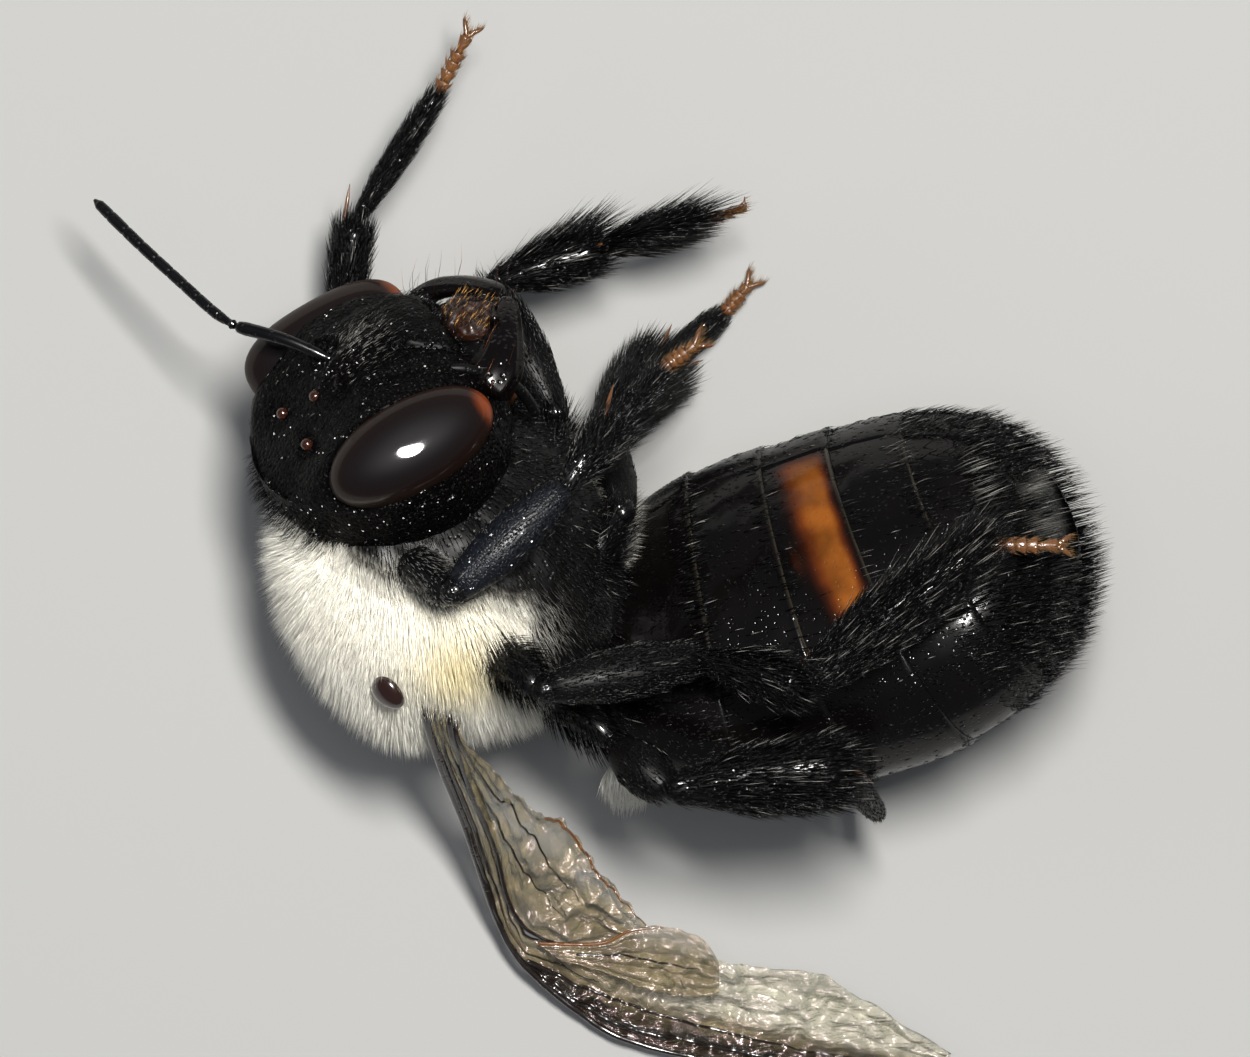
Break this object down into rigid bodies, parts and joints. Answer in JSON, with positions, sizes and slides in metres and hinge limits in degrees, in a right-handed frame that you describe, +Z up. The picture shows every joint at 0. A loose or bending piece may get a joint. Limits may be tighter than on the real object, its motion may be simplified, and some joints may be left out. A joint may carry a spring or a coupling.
{
  "type": "carpenter bee",
  "caption": "Life-size still model of a female eastern carpenter bee lying curled on its back, with glossy black head and abdomen, cream thorax pile and crumpled wings.",
  "frame": {"origin": "bottom centre of the bounding box, on the floor that the bee lies on", "axes": "+Z up from the floor; the head lies to -X, the abdomen's tip to +X, the visible crumpled wings to -Y"},
  "size_m": [0.0208, 0.0222, 0.0088],
  "materials": {
    "abdomen_shell": "glossy black chitin with fine punctures and an amber band",
    "leg_shell": "black chitin with stiff black hair",
    "eye_lens": "very dark red-brown compound eye, glossy",
    "feeler_shell": "black chitin, satin",
    "wing_membrane": "smoky brown crumpled membrane with dark veins",
    "head_shell": "shining black chitin with coarse punctures",
    "jaw": "glossy black horn with red-brown edges",
    "foot_shell": "brown horn with golden bristles",
    "wing_root_lid": "dark brown horn, glossy",
    "pile": "dense cream-white hair on the back and sides, black beneath"
  },
  "bodies": {
    "root": {"abdomen_segment_1": "abdomen_shell", "abdomen_segment_2": "abdomen_shell", "abdomen_segment_3": "abdomen_shell", "abdomen_segment_4": "abdomen_shell", "abdomen_segment_5": "abdomen_shell", "abdomen_segment_6": "abdomen_shell", "basitarsus_fore_left": "leg_shell", "basitarsus_fore_right": "leg_shell", "basitarsus_hind_left": "leg_shell", "basitarsus_hind_right": "leg_shell", "basitarsus_mid_left": "leg_shell", "basitarsus_mid_right": "leg_shell", "coxa_fore_left": "leg_shell", "coxa_fore_right": "leg_shell", "coxa_hind_left": "leg_shell", "coxa_hind_right": "leg_shell", "coxa_mid_left": "leg_shell", "coxa_mid_right": "leg_shell", "eye_left": "eye_lens", "eye_right": "eye_lens", "femur_fore_left": "leg_shell", "femur_fore_right": "leg_shell", "femur_hind_left": "leg_shell", "femur_hind_right": "leg_shell", "femur_mid_left": "leg_shell", "femur_mid_right": "leg_shell", "flagellum_left": "feeler_shell", "flagellum_right": "feeler_shell", "forewing_left": "wing_membrane", "forewing_right_base": "wing_membrane", "forewing_right_blade": "wing_membrane", "forewing_right_tip": "wing_membrane", "head": "head_shell", "hindwing_left": "wing_membrane", "hindwing_right": "wing_membrane", "mandible_left": "jaw", "mandible_right": "jaw", "scape_left": "feeler_shell", "scape_right": "feeler_shell", "tarsus_fore_left": "foot_shell", "tarsus_fore_right": "foot_shell", "tarsus_hind_left": "foot_shell", "tarsus_hind_right": "foot_shell", "tarsus_mid_left": "foot_shell", "tarsus_mid_right": "foot_shell", "tegula_left": "wing_root_lid", "tegula_right": "wing_root_lid", "thorax": "pile", "tibia_fore_left": "leg_shell", "tibia_fore_right": "leg_shell", "tibia_hind_left": "leg_shell", "tibia_hind_right": "leg_shell", "tibia_mid_left": "leg_shell", "tibia_mid_right": "leg_shell"}
  },
  "joints": []
}
